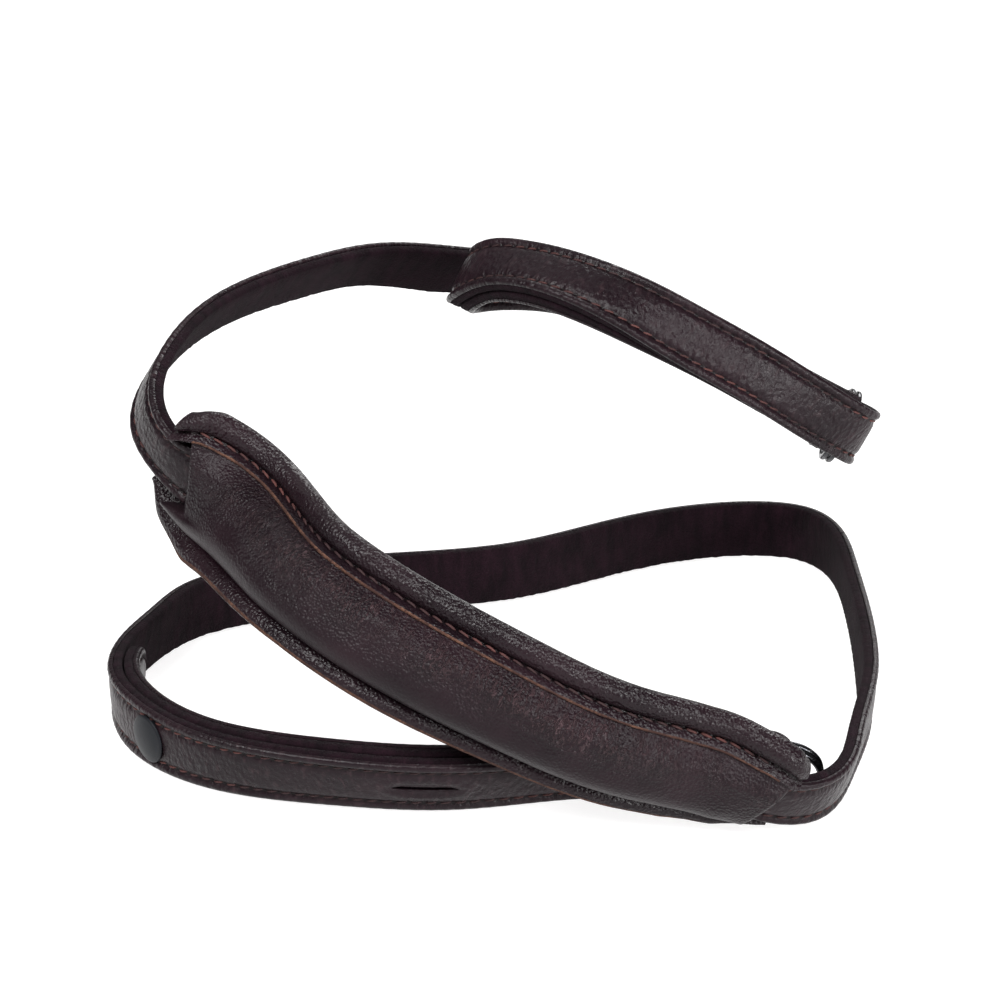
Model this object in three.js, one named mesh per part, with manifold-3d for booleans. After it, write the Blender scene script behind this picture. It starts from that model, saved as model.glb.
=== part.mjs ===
import * as THREE from "three";
import Module from "manifold-3d";

const wasm = await Module();
wasm.setup();

// Sizes in millimetres. The wound loop's three sizes scale the route's places.
const loopWidth = 150;
const loopDepth = 140;
const loopHeight = 90;

const strapWidth = 12;
const faceThickness = 1.0;
const liningThickness = 1.5;
const clearance = 0.3;
const tabLength = 151;
const slitLength = 12;
const slitWidth = 1.6;
const slitFromRing = 62;

const snapDiameter = 9.2;
const snapHeight = 1.2;
const snapSeat = 0.8;
const snapOneFromRing = 140;
const snapTwoFromRing = 118;

const ringWire = 1.2;
const ringRoom = 1.1;
const ringSlack = 0.7;
const ringFoldClose = 10;

const padLength = 137.5;
const padPastExit = 1.5;
const padSlack = 0.7;
const padMargin = 6.5;
const padPanel = 1.6;
const padBacking = 2.6;
const padPuff = 2.2;
const upperRoll = 4.8;
const lowerRoll = 3.2;
const mouthLean = 0.24;

const stepShort = 2.4;
const stepLong = 6.5;
const bendPerStep = 0.2;

// The middle of the strap from ring one over the arch, round the back, down the pad,
// behind along the floor and forward to ring two. Places are shares of the loop's
// width, depth and height; wide points to the strap's upper edge on the pad.
const routeColumns = ["name", "across", "away", "up", "wideX", "wideY", "wideZ"];
const routeRows = [
  ["ringOne", 0.460, 0.112, 0.488, -0.40, 0.06, -0.91],
  ["corner", 0.453, 0.048, 0.520, -0.44, 0.14, -0.88],
  ["archFoot", 0.401, 0.001, 0.592, -0.52, -0.10, -0.84],
  ["archRise", 0.300, -0.035, 0.714, -0.52, -0.32, -0.79],
  ["archMiddle", 0.222, -0.047, 0.794, -0.49, -0.42, -0.76],
  ["archHigh", 0.148, -0.040, 0.860, -0.40, -0.66, -0.64],
  ["archTop", 0.076, -0.008, 0.899, -0.28, -0.83, -0.48],
  ["curlStart", 0.012, 0.046, 0.902, -0.14, -0.90, -0.40],
  ["curlTop", -0.036, 0.090, 0.880, -0.28, -0.74, -0.60],
  ["curlSide", -0.058, 0.132, 0.840, -0.42, -0.46, -0.78],
  ["curlUnder", -0.046, 0.184, 0.815, -0.40, -0.20, -0.90],
  ["behindRun", 0.022, 0.226, 0.800, -0.25, 0.10, -0.96],
  ["tabOneEnd", 0.120, 0.279, 0.736, -0.28, 0.05, -0.96],
  ["turnStart", 0.180, 0.300, 0.672, -0.35, 0.00, -0.94],
  ["turnNear", 0.226, 0.325, 0.616, -0.35, 0.05, -0.93],
  ["turnOuter", 0.246, 0.368, 0.586, -0.12, 0.15, -0.98],
  ["turnFar", 0.220, 0.408, 0.594, 0.05, 0.20, -0.98],
  ["turnBack", 0.166, 0.422, 0.634, 0.20, -0.30, -0.93],
  ["behindTwist", 0.086, 0.406, 0.700, 0.12, -0.96, -0.20],
  ["behindArch", -0.013, 0.357, 0.750, 0.40, -0.62, 0.66],
  ["loopStart", -0.065, 0.316, 0.770, 0.46, -0.42, 0.78],
  ["loopHigh", -0.187, 0.240, 0.818, 0.44, -0.51, 0.74],
  ["loopPeak", -0.265, 0.171, 0.821, 0.44, -0.50, 0.74],
  ["loopMiddle", -0.330, 0.103, 0.814, 0.45, -0.50, 0.74],
  ["loopDown", -0.399, 0.010, 0.789, 0.44, -0.47, 0.76],
  ["loopBend", -0.441, -0.088, 0.740, 0.44, -0.43, 0.79],
  ["loopSide", -0.449, -0.170, 0.681, 0.38, -0.42, 0.83],
  ["loopLow", -0.411, -0.229, 0.612, 0.28, -0.40, 0.88],
  ["padMouth", -0.371, -0.252, 0.573, 0.42, -0.14, 0.89],
  ["padHead", -0.319, -0.304, 0.526, 0.61, 0.12, 0.78],
  ["padHigh", -0.244, -0.427, 0.474, 0.52, 0.13, 0.84],
  ["padFall", -0.124, -0.503, 0.378, 0.46, 0.10, 0.88],
  ["padMiddle", -0.007, -0.536, 0.292, 0.39, -0.04, 0.92],
  ["padLow", 0.132, -0.555, 0.200, 0.34, -0.17, 0.92],
  ["padFoot", 0.233, -0.541, 0.140, 0.37, -0.28, 0.88],
  ["padExit", 0.311, -0.543, 0.084, 0.34, -0.45, 0.83],
  ["sideFront", 0.368, -0.508, 0.066, 0.31, -0.31, 0.90],
  ["sideNear", 0.414, -0.396, 0.081, 0.15, -0.13, 0.98],
  ["sideMiddle", 0.447, -0.247, 0.089, 0.08, -0.02, 1.00],
  ["sideFar", 0.460, -0.108, 0.087, 0.07, 0.02, 1.00],
  ["sideBack", 0.467, 0.185, 0.078, -0.05, 0.01, 1.00],
  ["backCorner", 0.413, 0.419, 0.074, -0.02, 0.00, 1.00],
  ["backRight", 0.235, 0.410, 0.073, 0.00, 0.00, 1.00],
  ["backMiddle", 0.005, 0.260, 0.073, 0.00, 0.01, 1.00],
  ["backLeft", -0.255, 0.199, 0.073, 0.00, 0.01, 1.00],
  ["leftCorner", -0.429, 0.100, 0.074, 0.03, 0.00, 1.00],
  ["tabEnd", -0.471, 0.004, 0.076, 0.17, -0.05, 0.98],
  ["leftMiddle", -0.497, -0.096, 0.076, 0.10, -0.02, 0.99],
  ["leftNear", -0.495, -0.211, 0.074, -0.06, -0.03, 1.00],
  ["leftFront", -0.462, -0.298, 0.072, -0.03, -0.03, 1.00],
  ["frontLeft", -0.365, -0.406, 0.070, -0.10, -0.17, 0.98],
  ["frontNear", -0.217, -0.466, 0.071, -0.07, -0.36, 0.93],
  ["frontMiddle", -0.065, -0.481, 0.069, 0.03, -0.43, 0.90],
  ["frontRight", 0.139, -0.447, 0.067, 0.10, -0.47, 0.88],
  ["frontEnd", 0.250, -0.470, 0.066, 0.04, -0.44, 0.90],
  ["ringTwo", 0.305, -0.477, 0.064, 0.00, -0.47, 0.88],
];

// The pad's half widths to its upper and lower edge and its puff, along its length.
const padColumns = ["along", "upper", "lower", "puff"];
const padRows = [
  [0.000, 0.90, 0.65, 0.2],
  [0.015, 1.15, 0.90, 0.4],
  [0.040, 1.28, 1.10, 0.6],
  [0.090, 1.28, 1.22, 0.9],
  [0.200, 1.12, 1.12, 1.0],
  [0.320, 1.00, 1.00, 1.0],
  [0.700, 1.00, 1.00, 1.0],
  [0.860, 1.05, 0.98, 0.8],
  [0.930, 1.25, 0.78, 0.6],
  [0.960, 1.32, 0.45, 0.4],
  [0.985, 1.15, 0.30, 0.3],
  [1.000, 0.75, 0.20, 0.3],
];
const coverStart = 0.05;
const coverEnd = 0.975;

const strapThickness = faceThickness + clearance + liningThickness;
const half = strapThickness / 2;
const tabPitch = strapThickness + clearance;
const ringAxial = 2 * ringWire + clearance / 3;
const foldPitch = strapThickness + ringAxial + 2 * ringSlack;
const ringRadius = (strapWidth + ringRoom + ringWire) / 2;
const ringReach = strapWidth / 2 + clearance;
const ringSag = ringRadius - Math.sqrt(ringRadius ** 2 - ringReach ** 2);
const ringSetBack = ringSag + ringWire * 0.75;
const foldOpen = ringSetBack + ringWire / 2 + ringSlack;

function named(columns, rows) {
  return rows.map((row) => Object.fromEntries(columns.map((name, i) => [name, row[i]])));
}

// A natural cubic curve through values at knots.
function naturalCurve(knots, values) {
  const last = knots.length - 1;
  const bend = new Array(last + 1).fill(0);
  const carry = new Array(last + 1).fill(0);
  for (let i = 1; i < last; i++) {
    const before = knots[i] - knots[i - 1];
    const after = knots[i + 1] - knots[i];
    const turn = (values[i + 1] - values[i]) / after - (values[i] - values[i - 1]) / before;
    const pivot = 2 * (before + after) - before * carry[i - 1];
    carry[i] = after / pivot;
    bend[i] = (6 * turn - before * bend[i - 1]) / pivot;
  }
  for (let i = last - 1; i > 0; i--) {
    bend[i] -= carry[i] * bend[i + 1];
  }
  return (place) => {
    let i = 0;
    while (i < last - 1 && knots[i + 1] < place) {
      i++;
    }
    const span = knots[i + 1] - knots[i];
    const b = (place - knots[i]) / span;
    const a = 1 - b;
    const curved = ((a ** 3 - a) * bend[i] + (b ** 3 - b) * bend[i + 1]) * (span ** 2 / 6);
    return a * values[i] + b * values[i + 1] + curved;
  };
}

// The route as frames by distance from ring one's fold.
function makeRoute() {
  const rows = named(routeColumns, routeRows);
  const points = rows.map((row) => new THREE.Vector3(
    row.across * loopWidth, row.away * loopDepth, row.up * loopHeight));
  const wides = rows.map((row) => new THREE.Vector3(row.wideX, row.wideY, row.wideZ).normalize());
  const knots = [0];
  for (let i = 1; i < points.length; i++) {
    knots.push(knots[i - 1] + points[i].distanceTo(points[i - 1]));
  }
  const curves = ["x", "y", "z"].map((axis) => naturalCurve(knots, points.map((p) => p[axis])));
  const turns = ["x", "y", "z"].map((axis) => naturalCurve(knots, wides.map((w) => w[axis])));
  const samples = 4000;
  const end = knots[knots.length - 1];
  const dense = [];
  let run = 0;
  for (let i = 0; i <= samples; i++) {
    const place = end * i / samples;
    const centre = new THREE.Vector3(...curves.map((curve) => curve(place)));
    if (i > 0) {
      run += centre.distanceTo(dense[i - 1].centre);
    }
    dense.push({ run, place, centre });
  }
  return {
    length: run,
    runTo(name) {
      const place = knots[rows.findIndex((row) => row.name === name)];
      return dense[Math.round(place / end * samples)].run;
    },
    at(distance) {
      let low = 0;
      let high = samples;
      while (high - low > 1) {
        const middle = (low + high) >> 1;
        if (dense[middle].run <= distance) {
          low = middle;
        } else {
          high = middle;
        }
      }
      const share = (distance - dense[low].run) / (dense[high].run - dense[low].run);
      const place = dense[low].place + share * (dense[high].place - dense[low].place);
      const nudge = end / samples;
      const centre = new THREE.Vector3(...curves.map((curve) => curve(place)));
      const ahead = new THREE.Vector3(...curves.map((curve) => curve(place + nudge)));
      const behind = new THREE.Vector3(...curves.map((curve) => curve(place - nudge)));
      const along = ahead.sub(behind).normalize();
      const wide = new THREE.Vector3(...turns.map((turn) => turn(place)));
      wide.addScaledVector(along, -wide.dot(along)).normalize();
      return { centre, along, wide, out: along.clone().cross(wide) };
    },
  };
}

// The pad keeps its right mouth by the row padExit, whatever its length.
function padStartOn(route) {
  return route.runTo("padExit") + padPastExit - padLength;
}

// Distances from start to end, closer where the route bends or twists.
function distances(route, start, end) {
  const list = [start];
  let here = start;
  while (here < end) {
    const from = route.at(here);
    let step = stepLong;
    while (step > stepShort) {
      const to = route.at(Math.min(here + step, route.length));
      const turned = from.along.angleTo(to.along) + from.wide.angleTo(to.wide) / 2;
      if (turned < bendPerStep) {
        break;
      }
      step *= 0.8;
    }
    here += step;
    list.push(Math.min(here, end));
  }
  if (list.length > 2 && end - list[list.length - 2] < stepShort / 2) {
    list.splice(list.length - 2, 1);
  }
  return list;
}

// Every piece on the strap takes its stations from this one list.
function sharedDistances(route) {
  const nearRing = [0, foldOpen, foldOpen + ringFoldClose / 2, foldOpen + ringFoldClose];
  const padStart = padStartOn(route);
  const onPad = [0, coverStart, coverEnd, 1].map((share) => padStart + share * padLength);
  const keys = [
    ...nearRing, tabLength, ...onPad,
    ...[tabLength, ...nearRing].map((fromRing) => route.length - fromRing),
  ].sort((a, b) => a - b);
  const list = [0];
  for (let i = 1; i < keys.length; i++) {
    if (keys[i] > keys[i - 1]) {
      list.push(...distances(route, keys[i - 1], keys[i]).slice(1));
    }
  }
  return list;
}

function between(list, start, end) {
  const margin = 1e-6;
  return list.filter((distance) => distance > start - margin && distance < end + margin);
}

function smooth(share) {
  const s = Math.min(Math.max(share, 0), 1);
  return s * s * (3 - 2 * s);
}

// How far the tab's middle lies behind the strap's middle near a ring.
function tabGap(fromRing) {
  const open = 1 - smooth((fromRing - foldOpen) / ringFoldClose);
  return tabPitch + (foldPitch - tabPitch) * open;
}

// The strap's middle from one tab's end round both folds to the other tab's end.
function strapStations(route, list) {
  const stations = [];
  const addTab = (fromRing, frame) => {
    stations.push({
      centre: frame.centre.clone().addScaledVector(frame.out, -tabGap(fromRing)),
      wide: frame.wide, out: frame.out.clone().negate(),
    });
  };
  const addFold = (frame, outward, angles) => {
    const radius = foldPitch / 2;
    const middle = frame.centre.clone().addScaledVector(frame.out, -radius);
    for (const angle of angles) {
      const out = frame.out.clone().multiplyScalar(Math.cos(angle));
      out.addScaledVector(outward, Math.sin(angle));
      stations.push({
        centre: middle.clone().addScaledVector(out, radius), wide: frame.wide, out,
      });
    }
  };
  const eighth = Math.PI / 8;
  const angles = [1, 2, 3, 4, 5, 6, 7].map((i) => i * eighth);
  const first = route.at(0);
  const last = route.at(route.length);
  for (const distance of between(list, 0, tabLength).reverse()) {
    addTab(distance, route.at(distance));
  }
  addFold(first, first.along.clone().negate(), [...angles].reverse());
  for (const distance of list) {
    const { centre, wide, out } = route.at(distance);
    stations.push({ centre, wide, out });
  }
  addFold(last, last.along.clone(), angles);
  for (const distance of between(list, route.length - tabLength, route.length).reverse()) {
    addTab(route.length - distance, route.at(distance));
  }
  return stations;
}

// A closed mesh through one outline of (wide, out, ahead) points at each station.
function loft(stations, outline) {
  const rings = stations.map((station, i) => outline(station, i));
  const count = rings[0].length;
  const positions = [];
  stations.forEach((station, i) => {
    for (const [w, o, ahead = 0] of rings[i]) {
      const frame = ahead === 0 ? station : station.further(ahead);
      const point = frame.centre.clone();
      point.addScaledVector(frame.wide, w).addScaledVector(frame.out, o);
      positions.push(point.x, point.y, point.z);
    }
  });
  const apart = (a, b) => Math.hypot(...[0, 1, 2].map(
    (k) => positions[3 * a + k] - positions[3 * b + k]));
  const triangles = [];
  for (let i = 0; i < stations.length - 1; i++) {
    for (let j = 0; j < count; j++) {
      const a = i * count + j;
      const b = i * count + (j + 1) % count;
      if (apart(a, b + count) < apart(b, a + count)) {
        triangles.push(a, b, b + count, a, b + count, a + count);
      } else {
        triangles.push(a, b, a + count, b, b + count, a + count);
      }
    }
  }
  const cap = (ring, offset, forward) => {
    const contour = ring.map(([w, o]) => new THREE.Vector2(w, o));
    for (const [a, b, c] of THREE.ShapeUtils.triangulateShape(contour, [])) {
      const area = THREE.ShapeUtils.area([contour[a], contour[b], contour[c]]);
      const keep = (area > 0) === forward;
      triangles.push(offset + a, offset + (keep ? b : c), offset + (keep ? c : b));
    }
  };
  cap(rings[0], 0, false);
  cap(rings[rings.length - 1], (rings.length - 1) * count, true);
  const geometry = new THREE.BufferGeometry();
  geometry.setAttribute("position", new THREE.Float32BufferAttribute(positions, 3));
  geometry.setIndex(triangles);
  return geometry;
}

function toSolid(geometry) {
  return new wasm.Manifold(new wasm.Mesh({
    numProp: 3,
    vertProperties: new Float32Array(geometry.getAttribute("position").array),
    triVerts: new Uint32Array(geometry.getIndex().array),
  }));
}

function fromSolid(solid) {
  const mesh = solid.getMesh();
  const geometry = new THREE.BufferGeometry();
  geometry.setAttribute("position", new THREE.Float32BufferAttribute(mesh.vertProperties, 3));
  geometry.setIndex(Array.from(mesh.triVerts));
  return geometry;
}

function faceOutline() {
  const side = strapWidth / 2;
  const inner = half - faceThickness;
  const bevel = faceThickness * 0.4;
  return [
    [-side, inner], [side, inner], [side, half - bevel],
    [side - bevel, half], [-side + bevel, half], [-side, half - bevel],
  ];
}

function liningOutline() {
  const side = strapWidth / 2;
  return [
    [-side, -half], [side, -half], [side, -half + liningThickness],
    [-side, -half + liningThickness],
  ];
}

// The long button slit, through the strap but not through the tab behind it.
function slitCutter(route) {
  const middle = route.length - slitFromRing;
  const places = [-0.5, -0.25, 0, 0.25, 0.5].map((share) => middle + share * slitLength);
  const stations = places.map((place) => route.at(place));
  const depth = half + clearance / 2;
  return toSolid(loft(stations, () => [
    [-slitWidth / 2, -depth], [slitWidth / 2, -depth], [slitWidth / 2, depth],
    [-slitWidth / 2, depth],
  ]));
}

function padFrames(route, list, start, end) {
  const padStart = padStartOn(route);
  const first = padStart + start * padLength;
  const last = padStart + end * padLength;
  return between(list, first, last).map((distance) => ({
    ...route.at(distance), share: (distance - padStart) / padLength,
    further: (ahead) => route.at(distance + ahead),
  }));
}

function padShape() {
  const rows = named(padColumns, padRows);
  const read = (share, column) => {
    let i = 0;
    while (i < rows.length - 2 && rows[i + 1].along < share) {
      i++;
    }
    const part = (share - rows[i].along) / (rows[i + 1].along - rows[i].along);
    return rows[i][column] + part * (rows[i + 1][column] - rows[i][column]);
  };
  return (share) => ({
    upper: read(share, "upper"), lower: read(share, "lower"), puff: read(share, "puff"),
  });
}

// The pad's back with a rolled rim along each edge.
function padBackOutline(shape) {
  return (station) => {
    const { upper, lower } = shape(station.share);
    const sleeve = strapWidth / 2 + padSlack;
    const top = sleeve + (padMargin - padSlack) * upper;
    const bottom = -sleeve - (padMargin - padSlack) * lower;
    const floor = -half - padSlack;
    const high = upperRoll / 2 * Math.min(upper, 1);
    const low = lowerRoll / 2 * lower;
    return [
      [bottom, -low * 0.2], [bottom + low * 0.4, -low * 1.3],
      [bottom + low * 2, floor - padBacking * 0.6], [0, floor - padBacking],
      [top - high * 1.6, floor - padBacking * 0.7], [top - high * 0.3, -high],
      [top, -high * 0.1], [top - high * 0.35, high * 0.7], [top - high, high],
      [top - high * 1.65, high * 0.65], [top - high * 1.95, 0],
      [sleeve, floor], [-sleeve, floor],
      [bottom + low * 1.9, low * 0.2], [bottom + low, low * 0.8], [bottom + low * 0.3, low * 0.5],
    ];
  };
}

// The pad's puffed front panel, which leans at its right mouth.
function padFrontOutline(shape) {
  return (station) => {
    const { upper, lower, puff } = shape(station.share);
    const sleeve = strapWidth / 2 + padSlack;
    const rollFoot = sleeve + (padMargin - padSlack) * upper - upperRoll * Math.min(upper, 1);
    const top = rollFoot - padSlack;
    const bottom = -sleeve - (padMargin - padSlack) * lower + lowerRoll * lower + padSlack;
    const ceiling = half + padSlack;
    const skin = ceiling + padPanel;
    const rise = padPuff * puff;
    const lean = mouthLean * smooth((station.share - coverEnd + 0.12) / 0.12);
    const points = [
      [bottom, ceiling - padPanel * 0.9], [-sleeve * 0.94, ceiling], [sleeve * 0.9, ceiling],
      [top, ceiling + padPanel * 0.1], [top, skin], [sleeve * 0.55, skin + rise * 0.7],
      [0, skin + rise], [-sleeve * 0.6, skin + rise * 0.8], [bottom * 0.92, skin + rise * 0.1],
      [bottom, ceiling + padPanel * 0.3],
    ];
    return points.map(([w, o]) => [w, o, lean * w]);
  };
}

function discAt(frame, away, height) {
  const sides = 20;
  const profile = [
    [1, 0], [1, 0.45], [0.86, 0.85], [0.5, 1],
  ];
  const stations = profile.map(([, level]) => ({
    centre: frame.centre.clone().addScaledVector(away, height + level * snapHeight),
    wide: frame.wide, out: away.clone().cross(frame.wide),
  }));
  return loft(stations, (station, i) => Array.from({ length: sides }, (_, k) => {
    const angle = 2 * Math.PI * k / sides;
    const radius = snapDiameter / 2 * profile[i][0];
    return [radius * Math.cos(angle), radius * Math.sin(angle)];
  }));
}

// A split ring of two turns that step over at its ends.
function splitRing(centre, outward, wide) {
  const perTurn = 22;
  const sides = 6;
  const axis = wide.clone().cross(outward);
  const pitch = ringWire + clearance / 3;
  const stations = [];
  for (let i = 0; i <= 2 * perTurn - 1; i++) {
    const angle = 2 * Math.PI * (i + 0.5) / perTurn;
    const radial = outward.clone().multiplyScalar(Math.cos(angle));
    radial.addScaledVector(wide, Math.sin(angle));
    const turn = (i + 0.5) / perTurn;
    const shift = pitch * (smooth((turn - 0.93) / 0.14) - 0.5);
    const spot = centre.clone().addScaledVector(radial, ringRadius);
    stations.push({ centre: spot.addScaledVector(axis, shift), wide: radial, out: axis });
  }
  return loft(stations, () => Array.from({ length: sides }, (_, k) => {
    const angle = 2 * Math.PI * (k + 0.5) / sides;
    return [ringWire / 2 * Math.cos(angle), ringWire / 2 * Math.sin(angle)];
  }));
}

function ringPlace(frame, outward) {
  const middle = frame.centre.clone().addScaledVector(frame.out, -foldPitch / 2);
  return middle.addScaledVector(outward, ringRadius - ringSetBack);
}

const leather = new THREE.MeshStandardMaterial({ color: 0x3a2e32, roughness: 0.5 });
const suede = new THREE.MeshStandardMaterial({ color: 0x2f1c22, roughness: 0.95 });
const metal = new THREE.MeshStandardMaterial({ color: 0x2d3033, roughness: 0.35, metalness: 0.6 });

const group = new THREE.Group();

function add(name, geometry, material) {
  geometry.computeVertexNormals();
  const mesh = new THREE.Mesh(geometry, material);
  mesh.name = name;
  group.add(mesh);
}

const route = makeRoute();
const list = sharedDistances(route);
const stations = strapStations(route, list);
const slit = slitCutter(route);
const shape = padShape();
const firstFrame = route.at(0);
const lastFrame = route.at(route.length);
const firstOutward = firstFrame.along.clone().negate();
const ringOneCentre = ringPlace(firstFrame, firstOutward);
const ringTwoCentre = ringPlace(lastFrame, lastFrame.along);

add("strap_face", fromSolid(toSolid(loft(stations, faceOutline)).subtract(slit)), leather);
add("strap_lining", fromSolid(toSolid(loft(stations, liningOutline)).subtract(slit)), suede);
add("pad_back", loft(padFrames(route, list, 0, 1), padBackOutline(shape)), leather);
const frontFrames = padFrames(route, list, coverStart, coverEnd);
add("pad_front", loft(frontFrames, padFrontOutline(shape)), leather);

const snaps = [["one", snapOneFromRing], ["two", route.length - snapTwoFromRing]];
for (const [end, distance] of snaps) {
  const frame = route.at(distance);
  const behind = frame.out.clone().negate();
  const tabSkin = tabPitch + half + snapSeat;
  add(`snap_cap_${end}`, discAt(frame, frame.out, half + snapSeat), metal);
  add(`snap_base_${end}`, discAt(frame, behind, tabSkin), metal);
}

add("split_ring_one", splitRing(ringOneCentre, firstOutward, firstFrame.wide), metal);
add("split_ring_two", splitRing(ringTwoCentre, lastFrame.along, lastFrame.wide), metal);

for (const mesh of group.children) {
  mesh.geometry.translate(-ringOneCentre.x, -ringOneCentre.y, -ringOneCentre.z);
}

export default group;
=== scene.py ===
import math

import bpy
import numpy as np
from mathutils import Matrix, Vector, noise


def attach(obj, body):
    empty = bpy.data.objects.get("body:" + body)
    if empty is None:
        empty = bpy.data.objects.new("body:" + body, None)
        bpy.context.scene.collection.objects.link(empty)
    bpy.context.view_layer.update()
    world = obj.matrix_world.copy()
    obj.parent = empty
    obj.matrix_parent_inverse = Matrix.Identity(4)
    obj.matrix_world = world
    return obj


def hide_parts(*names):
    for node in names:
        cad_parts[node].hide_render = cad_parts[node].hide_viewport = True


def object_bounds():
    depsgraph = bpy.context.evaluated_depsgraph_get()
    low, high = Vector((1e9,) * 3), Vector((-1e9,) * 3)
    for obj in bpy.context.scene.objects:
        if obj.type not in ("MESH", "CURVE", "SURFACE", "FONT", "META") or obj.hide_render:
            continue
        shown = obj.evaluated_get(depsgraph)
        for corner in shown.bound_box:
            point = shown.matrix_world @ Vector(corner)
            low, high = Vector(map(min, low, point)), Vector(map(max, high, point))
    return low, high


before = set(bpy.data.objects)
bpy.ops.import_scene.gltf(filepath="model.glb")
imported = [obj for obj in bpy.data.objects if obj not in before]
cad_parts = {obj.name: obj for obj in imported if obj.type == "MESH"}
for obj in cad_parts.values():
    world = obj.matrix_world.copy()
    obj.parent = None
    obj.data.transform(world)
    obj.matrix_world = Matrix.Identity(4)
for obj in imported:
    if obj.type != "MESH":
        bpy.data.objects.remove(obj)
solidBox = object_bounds()
print("frame loaded", sorted(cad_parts))

millimetre = 0.001

# Sizes are in millimetres, as in the part's source.
loop = {"width": 150, "depth": 140, "height": 90}

strap = {
    "width": 12,
    "face": 1.0,
    "clearance": 0.3,
    "lining": 1.5,
    "tab": 151,
    "stitchPitch": 2.7,
    "stitchIn": 2.0,
    "stitchFromFold": 6.5,
    "step": 0.54,
    "liningStep": 0.9,
    "pinch": 0.16,
    "roundEnd": 3.0,
    "threadRadius": 0.2,
}

ring = {"wire": 1.2, "room": 1.1, "slack": 0.7, "foldClose": 10}

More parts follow.
